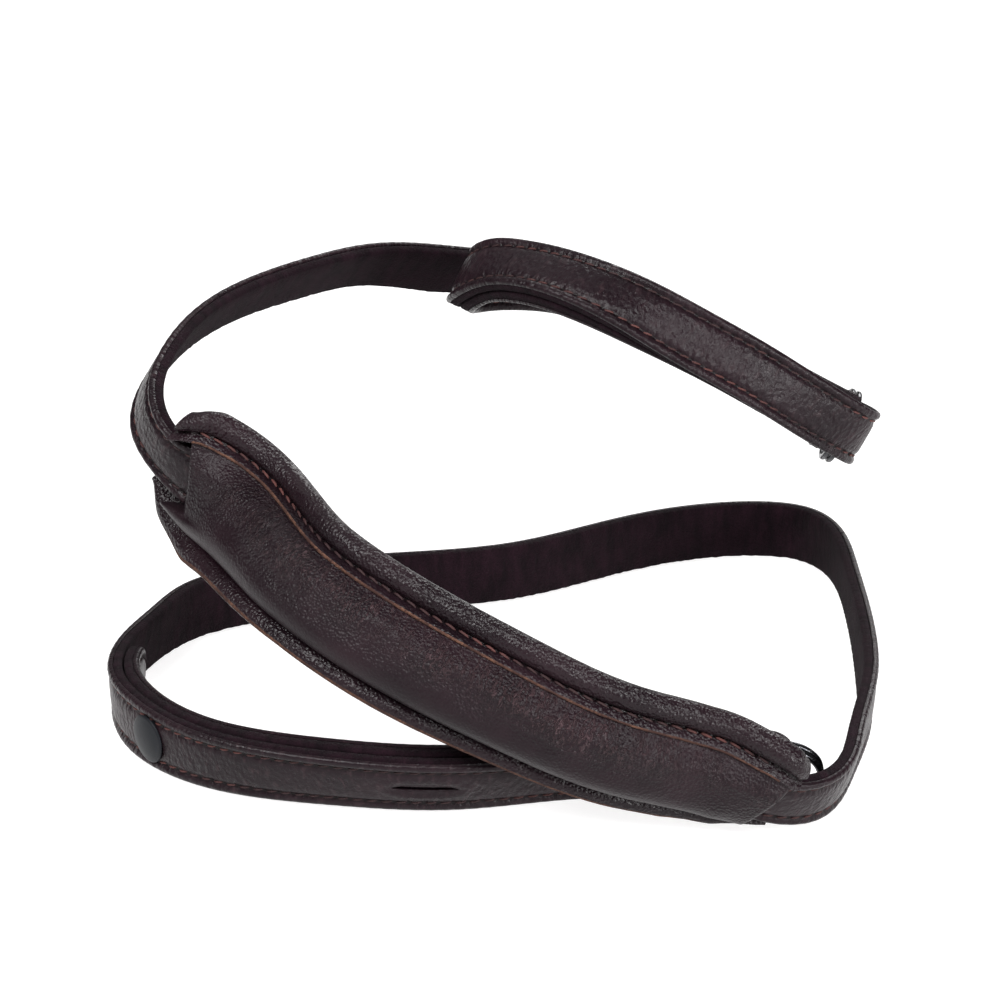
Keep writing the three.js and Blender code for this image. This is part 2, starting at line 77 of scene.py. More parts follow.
# name, across, away, up as shares of the loop, then the direction of the strap's width
routeRows = [
    ("ringOne", 0.460, 0.112, 0.488, -0.40, 0.06, -0.91),
    ("corner", 0.453, 0.048, 0.520, -0.44, 0.14, -0.88),
    ("archFoot", 0.401, 0.001, 0.592, -0.52, -0.10, -0.84),
    ("archRise", 0.300, -0.035, 0.714, -0.52, -0.32, -0.79),
    ("archMiddle", 0.222, -0.047, 0.794, -0.49, -0.42, -0.76),
    ("archHigh", 0.148, -0.040, 0.860, -0.40, -0.66, -0.64),
    ("archTop", 0.076, -0.008, 0.899, -0.28, -0.83, -0.48),
    ("curlStart", 0.012, 0.046, 0.902, -0.14, -0.90, -0.40),
    ("curlTop", -0.036, 0.090, 0.880, -0.28, -0.74, -0.60),
    ("curlSide", -0.058, 0.132, 0.840, -0.42, -0.46, -0.78),
    ("curlUnder", -0.046, 0.184, 0.815, -0.40, -0.20, -0.90),
    ("behindRun", 0.022, 0.226, 0.800, -0.25, 0.10, -0.96),
    ("tabOneEnd", 0.120, 0.279, 0.736, -0.28, 0.05, -0.96),
    ("turnStart", 0.180, 0.300, 0.672, -0.35, 0.00, -0.94),
    ("turnNear", 0.226, 0.325, 0.616, -0.35, 0.05, -0.93),
    ("turnOuter", 0.246, 0.368, 0.586, -0.12, 0.15, -0.98),
    ("turnFar", 0.220, 0.408, 0.594, 0.05, 0.20, -0.98),
    ("turnBack", 0.166, 0.422, 0.634, 0.20, -0.30, -0.93),
    ("behindTwist", 0.086, 0.406, 0.700, 0.12, -0.96, -0.20),
    ("behindArch", -0.013, 0.357, 0.750, 0.40, -0.62, 0.66),
    ("loopStart", -0.065, 0.316, 0.770, 0.46, -0.42, 0.78),
    ("loopHigh", -0.187, 0.240, 0.818, 0.44, -0.51, 0.74),
    ("loopPeak", -0.265, 0.171, 0.821, 0.44, -0.50, 0.74),
    ("loopMiddle", -0.330, 0.103, 0.814, 0.45, -0.50, 0.74),
    ("loopDown", -0.399, 0.010, 0.789, 0.44, -0.47, 0.76),
    ("loopBend", -0.441, -0.088, 0.740, 0.44, -0.43, 0.79),
    ("loopSide", -0.449, -0.170, 0.681, 0.38, -0.42, 0.83),
    ("loopLow", -0.411, -0.229, 0.612, 0.28, -0.40, 0.88),
    ("padMouth", -0.371, -0.252, 0.573, 0.42, -0.14, 0.89),
    ("padHead", -0.319, -0.304, 0.526, 0.61, 0.12, 0.78),
    ("padHigh", -0.244, -0.427, 0.474, 0.52, 0.13, 0.84),
    ("padFall", -0.124, -0.503, 0.378, 0.46, 0.10, 0.88),
    ("padMiddle", -0.007, -0.536, 0.292, 0.39, -0.04, 0.92),
    ("padLow", 0.132, -0.555, 0.200, 0.34, -0.17, 0.92),
    ("padFoot", 0.233, -0.541, 0.140, 0.37, -0.28, 0.88),
    ("padExit", 0.311, -0.543, 0.084, 0.34, -0.45, 0.83),
    ("sideFront", 0.368, -0.508, 0.066, 0.31, -0.31, 0.90),
    ("sideNear", 0.414, -0.396, 0.081, 0.15, -0.13, 0.98),
    ("sideMiddle", 0.447, -0.247, 0.089, 0.08, -0.02, 1.00),
    ("sideFar", 0.460, -0.108, 0.087, 0.07, 0.02, 1.00),
    ("sideBack", 0.467, 0.185, 0.078, -0.05, 0.01, 1.00),
    ("backCorner", 0.413, 0.419, 0.074, -0.02, 0.00, 1.00),
    ("backRight", 0.235, 0.410, 0.073, 0.00, 0.00, 1.00),
    ("backMiddle", 0.005, 0.260, 0.073, 0.00, 0.01, 1.00),
    ("backLeft", -0.255, 0.199, 0.073, 0.00, 0.01, 1.00),
    ("leftCorner", -0.429, 0.100, 0.074, 0.03, 0.00, 1.00),
    ("tabEnd", -0.471, 0.004, 0.076, 0.17, -0.05, 0.98),
    ("leftMiddle", -0.497, -0.096, 0.076, 0.10, -0.02, 0.99),
    ("leftNear", -0.495, -0.211, 0.074, -0.06, -0.03, 1.00),
    ("leftFront", -0.462, -0.298, 0.072, -0.03, -0.03, 1.00),
    ("frontLeft", -0.365, -0.406, 0.070, -0.10, -0.17, 0.98),
    ("frontNear", -0.217, -0.466, 0.071, -0.07, -0.36, 0.93),
    ("frontMiddle", -0.065, -0.481, 0.069, 0.03, -0.43, 0.90),
    ("frontRight", 0.139, -0.447, 0.067, 0.10, -0.47, 0.88),
    ("frontEnd", 0.250, -0.470, 0.066, 0.04, -0.44, 0.90),
    ("ringTwo", 0.305, -0.477, 0.064, 0.00, -0.47, 0.88),
]

half = (strap["face"] + strap["clearance"] + strap["lining"]) / 2
tabPitch = 2 * half + strap["clearance"]
foldPitch = 2 * half + 2 * ring["wire"] + strap["clearance"] / 3 + 2 * ring["slack"]
ringRadius = (strap["width"] + ring["room"] + ring["wire"]) / 2
ringReach = strap["width"] / 2 + strap["clearance"]
ringSag = ringRadius - math.sqrt(ringRadius**2 - ringReach**2)
ringSetBack = ringSag + ring["wire"] * 0.75
foldOpen = ringSetBack + ring["wire"] / 2 + ring["slack"]


def unit(vectors):
    return vectors / np.linalg.norm(vectors, axis=-1, keepdims=True)


def ease(share):
    s = np.clip(share, 0, 1)
    return s * s * (3 - 2 * s)


# A smooth curve through every knot, without bend at its two ends.
class NaturalCurve:
    def __init__(self, knots, values):
        count = len(knots)
        gaps = np.diff(knots)
        system = np.eye(count)
        right = np.zeros_like(values)
        for i in range(1, count - 1):
            system[i, i - 1 : i + 2] = gaps[i - 1], 2 * (gaps[i - 1] + gaps[i]), gaps[i]
            slopeAfter = (values[i + 1] - values[i]) / gaps[i]
            slopeBefore = (values[i] - values[i - 1]) / gaps[i - 1]
            right[i] = 6 * (slopeAfter - slopeBefore)
        self.knots, self.values = knots, values
        self.bend = np.linalg.solve(system, right)

    def at(self, place):
        i = np.clip(np.searchsorted(self.knots, place) - 1, 0, len(self.knots) - 2)
        span = (self.knots[i + 1] - self.knots[i])[:, None]
        b = (place - self.knots[i])[:, None] / span
        a = 1 - b
        curved = ((a**3 - a) * self.bend[i] + (b**3 - b) * self.bend[i + 1]) * span**2 / 6
        return a * self.values[i] + b * self.values[i + 1] + curved


# Places along the strap: w is the distance across it, o the height above it.
class Stations:
    def __init__(self, centre, wide, out, run):
        self.centre, self.wide, self.out, self.run = centre, wide, out, run

    def point(self, w, o):
        w = np.broadcast_to(w, (len(self.centre), np.shape(w)[-1]))
        o = np.broadcast_to(o, w.shape)
        across = w[..., None] * self.wide[:, None]
        above = o[..., None] * self.out[:, None]
        return self.centre[:, None] + across + above


class Route:
    def __init__(self):
        table = np.array([row[1:] for row in routeRows], float)
        points = table[:, :3] * [loop["width"], loop["depth"], loop["height"]]
        knots = np.concatenate([[0], np.cumsum(np.linalg.norm(np.diff(points, axis=0), axis=1))])
        self.middle = NaturalCurve(knots, points)
        self.width = NaturalCurve(knots, unit(table[:, 3:]))
        samples = 4000
        self.places = np.linspace(0, knots[-1], samples + 1)
        self.nudge = knots[-1] / samples
        steps = np.linalg.norm(np.diff(self.middle.at(self.places), axis=0), axis=1)
        self.runs = np.concatenate([[0], np.cumsum(steps)])
        self.length = self.runs[-1]
        self.origin = np.zeros(3)
        self.rowPlaces = dict(zip([row[0] for row in routeRows], knots))

    def runTo(self, name):
        return np.interp(self.rowPlaces[name], self.places, self.runs)

    def at(self, distances):
        distances = np.atleast_1d(np.asarray(distances, float))
        place = np.interp(distances, self.runs, self.places)
        along = unit(self.middle.at(place + self.nudge) - self.middle.at(place - self.nudge))
        wide = self.width.at(place)
        wide = unit(wide - (wide * along).sum(-1, keepdims=True) * along)
        centre = self.middle.at(place) - self.origin
        return Stations(centre, wide, np.cross(along, wide), distances)


def ringCentre(end, outward):
    return end.centre[0] - end.out[0] * foldPitch / 2 + outward * (ringRadius - ringSetBack)


route = Route()
firstEnd = route.at(0)
firstOutward = -np.cross(firstEnd.wide[0], firstEnd.out[0])
route.origin = ringCentre(firstEnd, firstOutward)
firstEnd, lastEnd = route.at(0), route.at(route.length)
lastOutward = np.cross(lastEnd.wide[0], lastEnd.out[0])


def tabGap(fromRing):
    closed = ease((fromRing - foldOpen) / ring["foldClose"])
    return tabPitch + (foldPitch - tabPitch) * (1 - closed)


# The strap's middle from one tab's end round both folds to the other tab's end.
def strapStations(step):
    tabRuns = np.linspace(0, strap["tab"], int(strap["tab"] / step) + 1)
    mainRuns = np.linspace(0, route.length, int(route.length / step) + 1)
    angles = np.linspace(0, math.pi, int(math.pi * foldPitch / 2 / step) + 2)[1:-1]

    def tabSide(fromRing, distances):
        f = route.at(distances)
        return f.centre - f.out * tabGap(fromRing)[:, None], f.wide, -f.out

    def foldSide(end, outward, turn):
        out = end.out[0] * np.cos(turn)[:, None] + outward * np.sin(turn)[:, None]
        middle = end.centre[0] - end.out[0] * foldPitch / 2
        return middle + out * foldPitch / 2, np.repeat(end.wide, len(turn), 0), out

    main = route.at(mainRuns)
    parts = [
        tabSide(tabRuns[::-1], tabRuns[::-1]),
        foldSide(firstEnd, firstOutward, angles[::-1]),
        (main.centre, main.wide, main.out),
        foldSide(lastEnd, lastOutward, angles),
        tabSide(tabRuns, route.length - tabRuns),
    ]
    centre, wide, out = (np.concatenate([part[k] for part in parts]) for k in range(3))
    run = np.concatenate([[0], np.cumsum(np.linalg.norm(np.diff(centre, axis=0), axis=1))])
    stations = Stations(centre, wide, out, run)
    stations.fromEnd = np.minimum(run, run[-1] - run)
    firstFold = len(tabRuns) + len(angles) // 2
    lastFold = len(run) - firstFold
    stations.fromFold = np.minimum(abs(run - run[firstFold]), abs(run - run[lastFold]))
    stations.mainStart = run[len(tabRuns) + len(angles)]
    return stations


def makePiece(name, points, faces, finishes, zones=None, maps=None, sharp=50):
    mesh = bpy.data.meshes.new(name)
    mesh.from_pydata((points * millimetre).tolist(), [], faces)
    mesh.polygons.foreach_set("use_smooth", [True] * len(faces))
    for finish in finishes:
        mesh.materials.append(finish.material)
    if zones is not None:
        mesh.polygons.foreach_set("material_index", zones)
    if maps is not None:
        layer = mesh.uv_layers.new(name="strapMap")
        corners = np.zeros(len(mesh.loops), np.int32)
        mesh.loops.foreach_get("vertex_index", corners)
        layer.data.foreach_set("uv", (maps[corners] * millimetre).astype(np.float32).ravel())
    mesh.set_sharp_from_angle(angle=math.radians(sharp))
    mesh.validate()
    piece = bpy.data.objects.new(name, mesh)
    bpy.context.scene.collection.objects.link(piece)
    return piece


# A closed skin over rows of points, with both ends capped.
def loft(name, grid, finishes, zones=None, maps=None, sharp=50):
    rows, count = grid.shape[:2]
    i = np.arange(rows - 1)[:, None] * count
    j = np.arange(count)[None]
    after = (j + 1) % count
    quads = np.stack([i + j, i + after, i + count + after, i + count + j], -1).reshape(-1, 4)
    faces = quads.tolist()
    faces += [list(range(count))[::-1], [(rows - 1) * count + k for k in range(count)]]
    faceZones = None
    if zones is not None:
        faceZones = np.broadcast_to(zones, (rows - 1, count)).ravel().tolist() + [0, 0]
    flatMaps = None if maps is None else maps.reshape(-1, 2)
    return makePiece(name, grid.reshape(-1, 3), faces, finishes, faceZones, flatMaps, sharp)


def mapOf(stations, w):
    w = np.broadcast_to(w, (len(stations.run), np.shape(w)[-1]))
    return np.stack([np.broadcast_to(stations.run[:, None], w.shape), w], -1)


# Many small copies of one rounded thread, each with its own place and directions.
def threads(name, centres, along, out, finish, length, radius, slant):
    rows, sides = 7, 8
    t = np.linspace(-1, 1, rows)
    girth = np.sqrt(np.clip(1 - (abs(t) * 0.96) ** 4, 0, 1))
    angle = np.arange(sides) * 2 * math.pi / sides
    across = np.cross(out, along)
    along = unit(along + across * slant)
    across = np.cross(out, along)
    x = t[:, None] * length / 2 + 0 * angle
    y = girth[:, None] * radius * np.cos(angle)
    z = girth[:, None] * radius * 0.9 * np.sin(angle) - (t**2)[:, None] * radius * 0.9
    shape = np.stack([x, y, z], -1).reshape(-1, 3)
    points = centres[:, None] + sum(
        shape[None, :, k, None] * axis[:, None] for k, axis in enumerate((along, across, out))
    )
    i = np.arange(rows - 1)[:, None] * sides
    j = np.arange(sides)[None]
    after = (j + 1) % sides
    quads = np.stack([i + j, i + sides + j, i + sides + after, i + after], -1).reshape(-1, 4)
    caps = [list(range(sides)), [(rows - 1) * sides + k for k in range(sides)][::-1]]
    one = quads.tolist() + caps
    faces = [[v + n * rows * sides for v in face] for n in range(len(centres)) for face in one]
    return makePiece(name, points.reshape(-1, 3), faces, [finish], sharp=80)


# A node's output that takes part in Python expressions.
class Signal:
    def __init__(self, finish, socket):
        self.finish = finish
        self.socket = socket

    def combine(self, operation, first, second):
        return self.finish.node("Math", {"operation": operation}, {0: first, 1: second})

    def __add__(self, other):
        return self.combine("ADD", self, other)

    def __radd__(self, other):
        return self.combine("ADD", other, self)

    def __sub__(self, other):
        return self.combine("SUBTRACT", self, other)

    def __rsub__(self, other):
        return self.combine("SUBTRACT", other, self)

    def __mul__(self, other):
        return self.combine("MULTIPLY", self, other)

    def __rmul__(self, other):
        return self.combine("MULTIPLY", other, self)

    def __truediv__(self, other):
        return self.combine("DIVIDE", self, other)

    def __rtruediv__(self, other):
        return self.combine("DIVIDE", other, self)


class Finish:
    def __init__(self, name, fixed):
        self.material = bpy.data.materials.new(name)
        self.material.use_nodes = True
        self.nodes = self.material.node_tree.nodes
        self.links = self.material.node_tree.links
        self.shader = self.nodes["Principled BSDF"]
        for socket, value in fixed.items():
            self.shader.inputs[socket].default_value = value
        self.material.diffuse_color = fixed.get("Base Color", (0.05, 0.04, 0.04, 1))

    def feed(self, socket, value):
        if isinstance(value, Signal):
            self.links.new(value.socket, socket)
        else:
            socket.default_value = value

    def node(self, kind, settings=None, sockets=None, output=0):
        made = self.nodes.new("ShaderNode" + kind)
        for name, value in (settings or {}).items():
            if name == "stops":
                ramp = made.color_ramp
                while len(ramp.elements) < len(value):
                    ramp.elements.new(0.5)
                for element, (position, shade) in zip(ramp.elements, value):
                    element.position = position
                    element.color = (shade, shade, shade, 1)
            else:
                setattr(made, name, value)
        for name, value in (sockets or {}).items():
            self.feed(made.inputs[name], value)
        return Signal(self, made.outputs[output])

    def mix(self, factor, first, second):
        return self.node("Mix", {"data_type": "RGBA"}, {0: factor, 6: first, 7: second}, 2)

    def ramp(self, value, stops):
        return self.node("ValToRGB", {"stops": stops}, {0: value})

    def scaled(self, vector, scale):
        return self.node("VectorMath", {"operation": "MULTIPLY"}, {0: vector, 1: scale})

    def noise(self, vector, scale, detail=3, rough=0.55):
        sockets = {"Vector": vector, "Scale": scale, "Detail": detail, "Roughness": rough}
        return self.node("TexNoise", {}, sockets)

    def cells(self, vector):
        sockets = {"Vector": vector, "Scale": 1.0, "Smoothness": 0.3, "Randomness": 1.0}
        return self.node("TexVoronoi", {"feature": "SMOOTH_F1"}, sockets)

    def bump(self, height, distance, strength=1.0, normal=None):
        sockets = {"Strength": strength, "Distance": distance * millimetre, "Height": height}
        if normal is not None:
            sockets["Normal"] = normal
        return self.node("Bump", {}, sockets)

    def set(self, sockets):
        for name, value in sockets.items():
            self.feed(self.shader.inputs[name], value)


def colour(red, green, blue):
    def linear(c):
        return ((c / 255 + 0.055) / 1.055) ** 2.4 if c > 10 else c / 255 / 12.92

    return (linear(red), linear(green), linear(blue), 1)


leatherLook = {
    "dark": colour(18, 10, 14),
    "light": colour(28, 16, 21),
    "worn": colour(74, 57, 60),
    # painted shade for the needle holes and the seam line
    "holeShade": colour(10, 5, 6),
    "gloss": 0.15,
    "roughLow": 0.2,
}


def leatherShade(finish, patches):
    share = finish.ramp(patches, [(0.35, 0), (0.7, 1)])
    return finish.mix(share, leatherLook["dark"], leatherLook["light"])


# Painted shade in the needle holes and along the seam line, at a distance across the strap, worked
# from the map.
def needleHoleShade(finish, run, across, seam, pitch):
    phase = finish.node("Math", {"operation": "FRACT"}, {0: run * (1000 / pitch)})
    fromHole = finish.node("Math", {"operation": "ABSOLUTE"}, {0: phase - 0.5})
    fromHole = fromHole * (-2 * pitch) + pitch
    fromSeam = finish.node("Math", {"operation": "ABSOLUTE"}, {0: across}) * 1000 - seam
    fromSeam = finish.node("Math", {"operation": "ABSOLUTE"}, {0: fromSeam})
    holeShade = finish.ramp(fromHole * 0.8 + fromSeam * 1.3, [(0.35, 1), (0.8, 0)])
    # painted shade along the seam line, where the furrow would be in shade
    seamShade = finish.ramp(fromSeam, [(0.15, 0.55), (0.6, 0)])
    return finish.node("Math", {"operation": "MAXIMUM"}, {0: holeShade, 1: seamShade})


# Strap leather: pebbles and cross wrinkles, with painted shade in the needle holes along both
# seams.
def makeStrapLeather():
    fixed = {"Base Color": leatherLook["dark"], "Specular IOR Level": leatherLook["gloss"]}
    finish = Finish("strapLeather", fixed)
    spot = finish.node("TexCoord", {}, {}, "Object")
    place = finish.node("UVMap", {"uv_map": "strapMap"})
    run = finish.node("SeparateXYZ", {}, {0: place})
    across = finish.node("SeparateXYZ", {}, {0: place}, 1)
    wander = finish.node("TexNoise", {}, {"Vector": spot, "Scale": 420, "Detail": 2}, 1)
    drift = finish.scaled(wander, (0.0013, 0.0013, 0))
    bent = finish.node("VectorMath", {"operation": "ADD"}, {0: place, 1: drift})
    pebbles = finish.cells(finish.scaled(bent, (1150, 850, 900)))
    wrinkles = finish.noise(finish.scaled(bent, (820, 330, 950)), 1.0, 4, 0.6)
    fine = finish.noise(spot, 3600, 2, 0.5)
    patches = finish.noise(spot, 55, 3, 0.6)
    coarse = finish.ramp(finish.noise(spot, 34, 2, 0.5), [(0.36, 0.35), (0.6, 1)])
    grain = (pebbles * 0.8 + wrinkles * 1.1) * coarse + fine * 0.22
    shade = leatherShade(finish, patches)
    raised = finish.ramp(wrinkles, [(0.54, 0), (0.74, 0.25)])
    shade = finish.mix(raised, shade, leatherLook["worn"])
    seam = strap["width"] / 2 - strap["stitchIn"]
    holes = needleHoleShade(finish, run, across, seam, strap["stitchPitch"])
    # painted shade in the needle holes and along both seams
    shade = finish.mix(holes, shade, leatherLook["holeShade"])
    patchy = finish.ramp(patches, [(0.3, 0), (0.75, 0.14)])
    roughness = leatherLook["roughLow"] + patchy + pebbles * 0.14
    finish.set({"Base Color": shade, "Roughness": roughness, "Normal": finish.bump(grain, 0.3)})
    return finish


# The pad's sizes and looks. Its leathers need its place along the strap.
pad = {
    "length": 137.5,
    "pastExit": 1.5,
    "slack": 0.7,
    "margin": 6.5,
    "panel": 1.6,
    "backing": 2.6,
    "puff": 2.2,
    "upperRoll": 4.8,
    "lowerRoll": 3.2,
    "mouthLean": 0.24,
    "coverStart": 0.05,
    "coverEnd": 0.975,
    "step": 0.4,
    "undulation": 0.25,
    "leftLean": 0.32,
    "tuck": 6.6,
    "skew": 0.14,
    "lobe": 0.9,
    "lowerBulge": 0.2,
    "upperBulge": 0.17,
    "seamAcross": 20.12,
    "seamShift": 20.0,
    "seamPitch": 2.7,
}
pad["start"] = route.runTo("padExit") + pad["pastExit"] - pad["length"]


# The cell grain of the panel and of the rolls.
def padGrain(finish, spot):
    cells = finish.cells(finish.scaled(spot, (1800, 1800, 1800)))
    clumps = finish.ramp(finish.noise(spot, 150, 3, 0.6), [(0.35, 0.4), (0.62, 1)])
    return cells * clumps


# Panel leather: finer grain, with short creases running across just below the upper seam.
def makePadLeather():
    fixed = {"Base Color": leatherLook["dark"], "Specular IOR Level": leatherLook["gloss"]}
    finish = Finish("padLeather", fixed)
    spot = finish.node("TexCoord", {}, {}, "Object")
    place = finish.node("UVMap", {"uv_map": "strapMap"})
    run = finish.node("SeparateXYZ", {}, {0: place})
    across = finish.node("SeparateXYZ", {}, {0: place}, 1)
    pebbles = padGrain(finish, spot)
    wander = finish.node("TexNoise", {}, {"Vector": spot, "Scale": 300, "Detail": 3}, 1)
    drift = finish.scaled(wander, (0.0026, 0.0026, 0.0))
    bent = finish.node("VectorMath", {"operation": "ADD"}, {0: place, 1: drift})
    creases = finish.noise(finish.scaled(bent, (1000, 240, 900)), 1.0, 3, 0.7)
    lines = finish.ramp(creases, [(0.455, 0.0), (0.5, 1.0), (0.545, 0.0)])
    # 0 at the pad's lower side, 1 at its upper seam
    height = across * 1000 / 15 + 0.55
    below = finish.ramp(height, [(0.45, 0), (0.66, 1), (0.92, 1), (0.99, 0.4)])
    share = (run * 1000 - float(pad["start"])) / pad["length"]
    middle = finish.ramp(share, [(0.04, 0.1), (0.3, 1.0), (0.72, 1.0), (0.88, 0.25)])
    patches = finish.noise(spot, 70, 3, 0.6)
    broken = finish.ramp(finish.noise(spot, 210, 2, 0.5), [(0.38, 0.15), (0.56, 1)])
    creased = lines * below * middle * broken
    grainy = finish.ramp(height, [(0.1, 0.15), (0.45, 1)])
    relief = pebbles * grainy * 1.1 + finish.noise(spot, 4400, 2, 0.5) * 0.2 + creased * 1.2
    shade = leatherShade(finish, patches)
    shade = finish.mix(creased * 0.75, shade, leatherLook["worn"])
    patchy = finish.ramp(patches, [(0.3, 0), (0.75, 0.1)])
    roughness = leatherLook["roughLow"] + 0.08 + patchy + pebbles * 0.12
    finish.set({"Base Color": shade, "Roughness": roughness, "Normal": finish.bump(relief, 0.32)})
    return finish


# Roll leather: the same grain, with painted shade for the needle holes in the furrow beside the
# upper roll.
def makeRollLeather():
    fixed = {"Base Color": leatherLook["dark"], "Specular IOR Level": leatherLook["gloss"] + 0.03}
    finish = Finish("rollLeather", fixed)
    spot = finish.node("TexCoord", {}, {}, "Object")
    place = finish.node("UVMap", {"uv_map": "strapMap"})
    run = finish.node("SeparateXYZ", {}, {0: place})
    across = finish.node("SeparateXYZ", {}, {0: place}, 1)
    pebbles = padGrain(finish, spot)
    patches = finish.noise(spot, 60, 3, 0.6)
    shade = leatherShade(finish, patches)
    holes = needleHoleShade(finish, run, across, pad["seamAcross"], pad["seamPitch"])
    # painted shade in the needle holes and along the seam in the furrow
    shade = finish.mix(holes, shade, leatherLook["holeShade"])
    relief = pebbles + finish.noise(spot, 4400, 2, 0.5) * 0.2
    patchy = finish.ramp(patches, [(0.3, 0), (0.75, 0.1)])
    roughness = leatherLook["roughLow"] + patchy + pebbles * 0.12
    finish.set({"Base Color": shade, "Roughness": roughness, "Normal": finish.bump(relief, 0.28)})
    return finish


suedeLook = {
    "plain": colour(36, 20, 27),
    "dark": colour(15, 8, 12),
    "light": colour(30, 16, 23),
    "nap": colour(14, 7, 10),
    "gloss": 0.04,
    "sheen": 0.02,
}


def makeSuede():
    fixed = {
        "Base Color": suedeLook["plain"],
        "Specular IOR Level": suedeLook["gloss"],
        "Sheen Weight": suedeLook["sheen"],
        "Sheen Roughness": 0.5,
    }
    finish = Finish("suede", fixed)
    spot = finish.node("TexCoord", {}, {}, "Object")
    place = finish.node("UVMap", {"uv_map": "strapMap"})
    nap = finish.noise(spot, 2200, 3, 0.7)
    brushed = finish.noise(finish.scaled(place, (420, 130, 300)), 1.0, 4, 0.6)
    streaks = finish.ramp(brushed, [(0.35, 0), (0.68, 1)])
    shade = finish.mix(streaks, suedeLook["dark"], suedeLook["light"])
    shade = finish.mix(finish.ramp(nap, [(0.3, 0.6), (0.55, 0)]), shade, suedeLook["nap"])
    relief = finish.bump(nap + brushed * 0.8, 0.5)
    finish.set({"Base Color": shade, "Roughness": 0.86 + nap * 0.12, "Normal": relief})
    return finish


edgeLook = {
    "plain": colour(96, 68, 52),
    "dark": colour(44, 29, 27),
    "light": colour(96, 68, 55),
    "stain": colour(46, 31, 29),
    "gloss": 0.1,
}


def makeRawEdge():
    fixed = {"Base Color": edgeLook["plain"], "Specular IOR Level": edgeLook["gloss"]}
    finish = Finish("rawEdge", fixed)
    spot = finish.node("TexCoord", {}, {}, "Object")
    fibre = finish.noise(spot, 2400, 4, 0.7)
    patches = finish.noise(spot, 240, 3, 0.6)
    shade = finish.ramp(fibre, [(0.35, 0), (0.65, 1)])
    shade = finish.mix(shade, edgeLook["dark"], edgeLook["light"])
    shade = finish.mix(finish.ramp(patches, [(0.4, 0), (0.6, 0.85)]), shade, edgeLook["stain"])
    relief = finish.bump(fibre, 0.2)
    finish.set({"Base Color": shade, "Roughness": 0.75 + fibre * 0.15, "Normal": relief})
    return finish


threadLook = {
    "plain": colour(70, 38, 38),
    "dark": colour(26, 16, 18),
    "light": colour(52, 33, 34),
    # lighter, redder thread in broad patches: partly the thread's own tone, partly a painted
    # highlight
    "tintAndSheen": colour(88, 52, 48),
    "gloss": 0.2,
}


def makeThread():
    fixed = {"Base Color": threadLook["plain"], "Specular IOR Level": threadLook["gloss"]}
    finish = Finish("thread", fixed)
    spot = finish.node("TexCoord", {}, {}, "Object")
    twist = finish.noise(spot, 3600, 2, 0.6)
    tintAndSheen = finish.noise(spot, 38, 2, 0.5)
    shade = finish.mix(twist, threadLook["dark"], threadLook["light"])
    # broad patches of lighter, redder thread: partly its own tone, partly a painted highlight
    shade = finish.mix(finish.ramp(tintAndSheen, [(0.5, 0), (0.66, 0.7)]), shade, threadLook["tintAndSheen"])
    relief = finish.bump(twist, 0.12)
    finish.set({"Base Color": shade, "Roughness": 0.55 + twist * 0.2, "Normal": relief})
    return finish


snapLook = {
    "plain": colour(33, 35, 41),
    "dark": colour(10, 12, 16),
    "light": colour(18, 20, 25),
    "gloss": 0.2,
}


def makeSnapMetal():
    fixed = {"Base Color": snapLook["plain"], "Specular IOR Level": snapLook["gloss"]}
    finish = Finish("snapMetal", fixed)
    spot = finish.node("TexCoord", {}, {}, "Object")
    haze = finish.noise(spot, 420, 4, 0.6)
    specks = finish.noise(spot, 3600, 2, 0.6)
    shade = finish.mix(haze, snapLook["dark"], snapLook["light"])
    finish.set({"Base Color": shade, "Roughness": 0.4 + haze * 0.14})
    finish.set({"Metallic": 0.04 + specks * 0.06, "Normal": finish.bump(specks, 0.02)})
    return finish


ringLook = {
    "plain": colour(48, 48, 50),
    "dark": colour(44, 44, 47),
    "bare": colour(130, 130, 132),
    "gloss": 0.6,
}


def makeRingMetal():
    fixed = {"Base Color": ringLook["plain"], "Specular IOR Level": ringLook["gloss"]}
    finish = Finish("ringMetal", fixed)
    spot = finish.node("TexCoord", {}, {}, "Object")
    scuffs = finish.noise(finish.scaled(spot, (900, 900, 3800)), 1.0, 4, 0.7)
    worn = finish.ramp(scuffs, [(0.55, 0), (0.75, 1)])
    shade = finish.mix(worn, ringLook["dark"], ringLook["bare"])
    finish.set({"Base Color": shade, "Roughness": 0.14 + scuffs * 0.16})
    finish.set({"Metallic": 0.85 + scuffs * 0.1, "Normal": finish.bump(scuffs, 0.015)})
    return finish


strapLeather = makeStrapLeather()
padLeather = makePadLeather()
rollLeather = makeRollLeather()
suede = makeSuede()
rawEdge = makeRawEdge()
thread = makeThread()
snapMetal = makeSnapMetal()
ringMetal = makeRingMetal()
print("finishes made")


def carry(piece, slotName, *nodes):
    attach(piece, "root")
    if nodes:
        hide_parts(*nodes)


slit = {"length": 12, "width": 1.6, "fromRing": 62, "rim": 1.1}

# outside of the leather: distance from the middle line, height above the strap's middle
faceProfile = [
    (5.97, 0.80, 0), (5.90, 1.12, 0.3), (5.62, 1.37, 0.8), (5.22, 1.47, 1), (4.80, 1.41, 0.8),
    (4.45, 1.22, -0.4), (4.20, 1.06, -1), (4.00, 1.00, -1), (3.80, 1.04, -1), (3.50, 1.18, -0.5),
    (3.10, 1.33, 0), (2.50, 1.42, 0), (1.90, 1.45, 0), (1.30, 1.47, 0), (0.90, 1.48, 0),
    (0.45, 1.48, 0), (0.00, 1.48, 0),
]


def narrowEnd(fromEnd):
    reach = np.clip(fromEnd / strap["roundEnd"], 0, 1)
    corner = strap["roundEnd"] * (1 - np.sqrt(1 - (1 - reach) ** 2))
    return (strap["width"] / 2 - corner) / (strap["width"] / 2)


def needle(run):
    return 0.5 + 0.5 * np.cos(2 * math.pi * run / strap["stitchPitch"])


